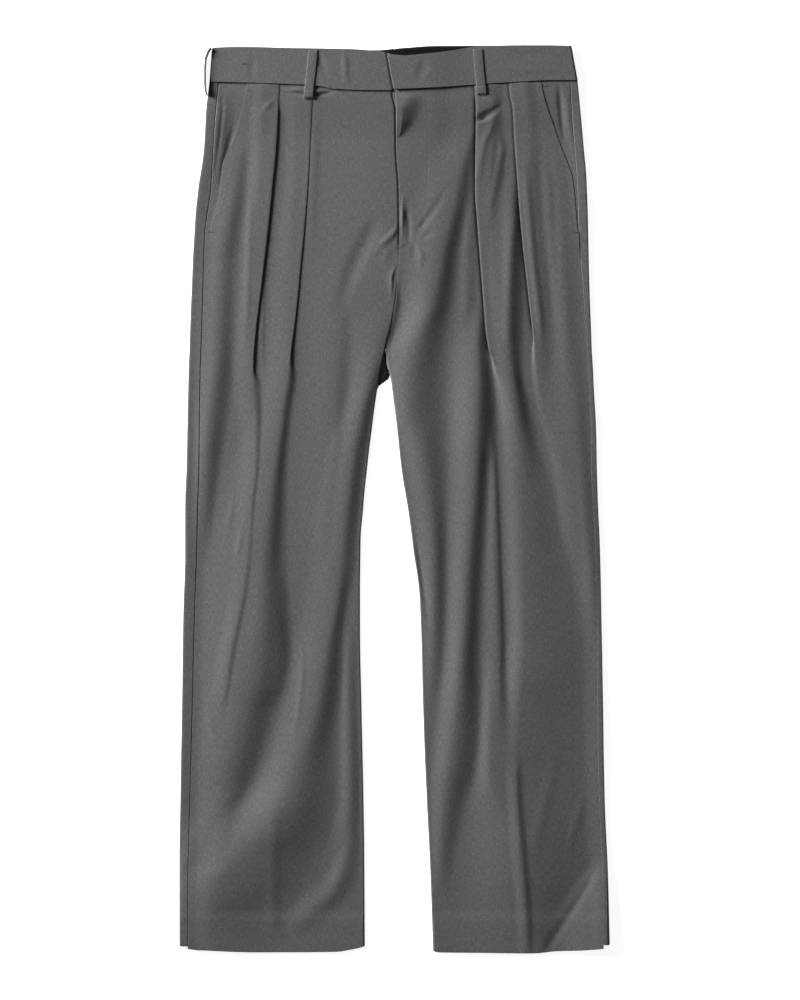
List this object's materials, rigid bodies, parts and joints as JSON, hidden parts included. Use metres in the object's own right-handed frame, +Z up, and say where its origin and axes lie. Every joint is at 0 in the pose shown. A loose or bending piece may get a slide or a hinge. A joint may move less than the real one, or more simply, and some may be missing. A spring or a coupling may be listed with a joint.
{
  "type": "pleated dress trousers",
  "caption": "Full-length pleated dress trousers in plain grey wool, laid flat with the front up: waistband with belt loops, slanted side pockets, fly, wide straight legs.",
  "frame": {"origin": "middle of the trousers' outline, on the surface they lie on", "axes": "+Z up from the surface, front of the trousers up; +Y towards the waistband; +X towards the wearer's left"},
  "size_m": [0.495, 1.0422, 0.0102],
  "materials": {
    "worsted_wool": "fine worsted weave with a faint satin sheen",
    "lining": "matte dark lining"
  },
  "bodies": {
    "root": {"front_right": "worsted_wool", "front_left": "worsted_wool", "back_right": "worsted_wool", "back_left": "worsted_wool", "pocket_facing_right": "worsted_wool", "pocket_facing_left": "worsted_wool", "waistband_right": "worsted_wool", "waistband_left": "worsted_wool", "waistband_facing": "lining", "belt_loop_front_right": "worsted_wool", "belt_loop_front_left": "worsted_wool", "belt_loop_side_right": "worsted_wool", "belt_loop_side_left": "worsted_wool", "belt_loop_back": "worsted_wool"}
  },
  "joints": []
}
